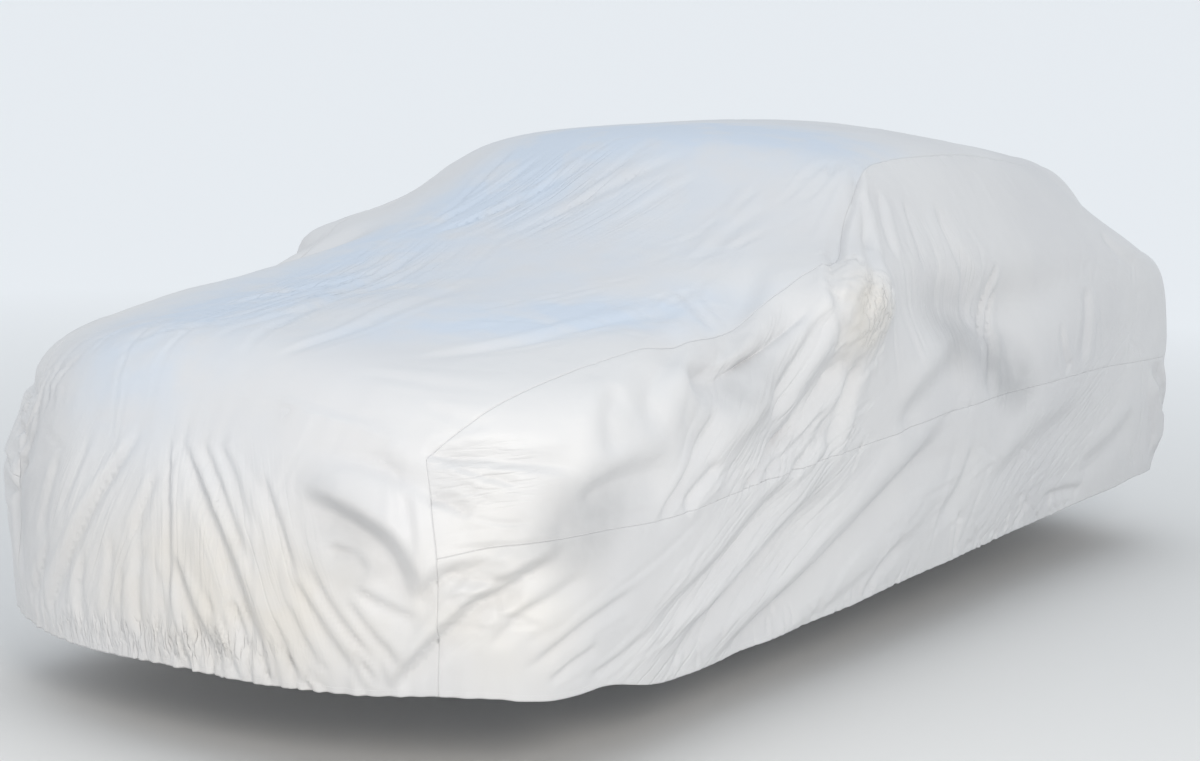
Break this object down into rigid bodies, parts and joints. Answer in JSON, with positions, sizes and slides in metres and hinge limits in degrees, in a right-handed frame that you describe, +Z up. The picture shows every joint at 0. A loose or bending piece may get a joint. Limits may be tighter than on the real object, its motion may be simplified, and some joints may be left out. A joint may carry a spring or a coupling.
{
  "type": "fitted car cover",
  "caption": "Fitted car cover of thin silver cloth, hollow and open below, hanging in soft folds, with a centre strip, side panels and skirts sewn together.",
  "frame": {"origin": "the point where the cloth is held up: the underside of the top of the crown, on the middle line", "axes": "+Z up, -Y towards the nose (the front end), +X towards the cover's left side"},
  "size_m": [1.9495, 4.4357, 1.308],
  "materials": {
    "silver_cloth": "silver coated thin cloth, soft satin sheen"
  },
  "bodies": {
    "root": {"centre_strip": "silver_cloth", "upper_side_left": "silver_cloth", "upper_side_right": "silver_cloth", "skirt_left": "silver_cloth", "skirt_right": "silver_cloth"}
  },
  "joints": []
}
